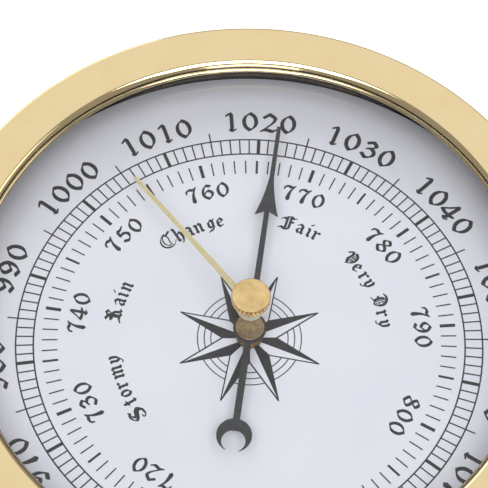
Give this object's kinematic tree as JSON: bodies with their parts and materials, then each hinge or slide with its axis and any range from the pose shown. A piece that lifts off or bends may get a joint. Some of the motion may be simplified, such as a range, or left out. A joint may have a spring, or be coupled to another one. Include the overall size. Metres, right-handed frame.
{
  "type": "aneroid barometer",
  "caption": "Round wall barometer with polished brass bezel, domed crystal, white printed dial, black pressure hand, brass setting hand and an aneroid lever and gear movement inside.",
  "frame": {"origin": "centre of the flat back face", "axes": "+Z out of the dial towards the reader, +Y towards 12 o'clock"},
  "size_m": [0.132, 0.132, 0.0465],
  "materials": {
    "polished_brass": "polished",
    "turned_brass": "turned",
    "brass_strip": "satin",
    "movement_brass": "satin",
    "steel": "satin",
    "spring_steel": "blued",
    "black_paint": "satin",
    "black_hand": "matt",
    "dial_white": "semi-matt",
    "glass": "clear",
    "rubber": "matt",
    "white_nylon": "satin",
    "capsule_metal": "nickel, satin"
  },
  "bodies": {
    "case": {"case_pan": "black_paint", "hanger_plate": "steel", "hanger_rivets": "steel", "bezel": "polished_brass", "crystal": "glass", "crystal_gasket": "rubber", "dial_plate": "dial_white", "dial_posts": "movement_brass", "dial_post_screws": "steel", "base_plate": "movement_brass", "case_posts": "movement_brass", "case_screws": "black_paint", "capsule_base_stud": "capsule_metal", "capsule_nut": "movement_brass", "capsule_lower": "capsule_metal", "spring_screws": "steel", "rocker_bracket": "steel", "bracket_screws": "steel", "sector_bushes": "movement_brass", "lower_bridge": "movement_brass", "upper_bridge": "movement_brass", "bridge_pillars": "movement_brass", "bridge_spacers": "movement_brass", "bridge_screws": "steel", "pillar_screws": "steel", "arbor_bushes": "movement_brass", "hairspring": "spring_steel", "hairspring_stud": "movement_brass"},
    "setting": {"setting_knob": "turned_brass", "knob_washer": "movement_brass", "friction_washer": "white_nylon", "set_hand": "brass_strip", "set_hand_nut": "white_nylon"},
    "sector": {"sector_gear": "movement_brass", "sector_staff": "steel"},
    "pointer": {"pointer_arbor": "steel", "pinion": "movement_brass", "hairspring_collet": "movement_brass", "hand_bush": "turned_brass", "pressure_hand": "black_hand", "hand_cap": "turned_brass"},
    "rocker": {"rocking_shaft": "steel", "rocker_arm": "movement_brass", "rocker_crank": "movement_brass"},
    "link": {"link_rod": "steel"},
    "lever": {"main_spring": "spring_steel", "main_lever": "steel", "lever_rivets": "steel", "knife_edge_pin": "steel"},
    "capsule_top": {"capsule_upper": "capsule_metal", "capsule_top_stud": "capsule_metal"},
    "adjuster": {"adjusting_screw": "steel"}
  },
  "joints": [
    {"name": "set_hand_turn", "type": "hinge", "parent": "case", "child": "setting", "pos_m": [0, 0, 0.0437], "axis": [0, 0, 1], "continuous": true},
    {"name": "sector_rock", "type": "hinge", "parent": "case", "child": "sector", "pos_m": [0.0198, 0, 0.0213], "axis": [0, 0, 1], "range_deg": [-15.51, 13.27]},
    {"name": "pointer_turn", "type": "hinge", "parent": "case", "child": "pointer", "pos_m": [0, 0, 0.0213], "axis": [0, 0, 1], "range_deg": [-132.65, 155.14], "deforming": ["hairspring"]},
    {"name": "rocker_turn", "type": "hinge", "parent": "case", "child": "rocker", "pos_m": [0.0198, -0.0125, 0.0088], "axis": [0, 1, 0], "range_deg": [-15.51, 13.27]},
    {"name": "link_lift", "type": "slide", "parent": "case", "child": "link", "axis": [0, 0, 1], "range_m": [-0.00093, 0.00108]},
    {"name": "lever_lift", "type": "hinge", "parent": "case", "child": "lever", "pos_m": [-0.038, 0, 0.01005], "axis": [0, 1, 0], "range_deg": [-1, 0.86], "deforming": ["main_spring"]},
    {"name": "capsule_swell", "type": "slide", "parent": "case", "child": "capsule_top", "axis": [0, 0, 1], "range_m": [-0.00048, 0.00056], "deforming": ["capsule_upper"]},
    {"name": "adjuster_turn", "type": "hinge", "parent": "case", "child": "adjuster", "pos_m": [-0.031, 0, 0.003], "axis": [0, 0, 1], "range_deg": [-360, 360]}
  ],
  "couplings": [
    {"joint": "sector_rock", "follows": "capsule_swell", "rad_per_m": -482.81},
    {"joint": "pointer_turn", "follows": "capsule_swell", "rad_per_m": 4828.1},
    {"joint": "rocker_turn", "follows": "capsule_swell", "rad_per_m": -482.81},
    {"joint": "link_lift", "follows": "capsule_swell", "ratio": 1.9312},
    {"joint": "lever_lift", "follows": "capsule_swell", "rad_per_m": -31.25}
  ]
}
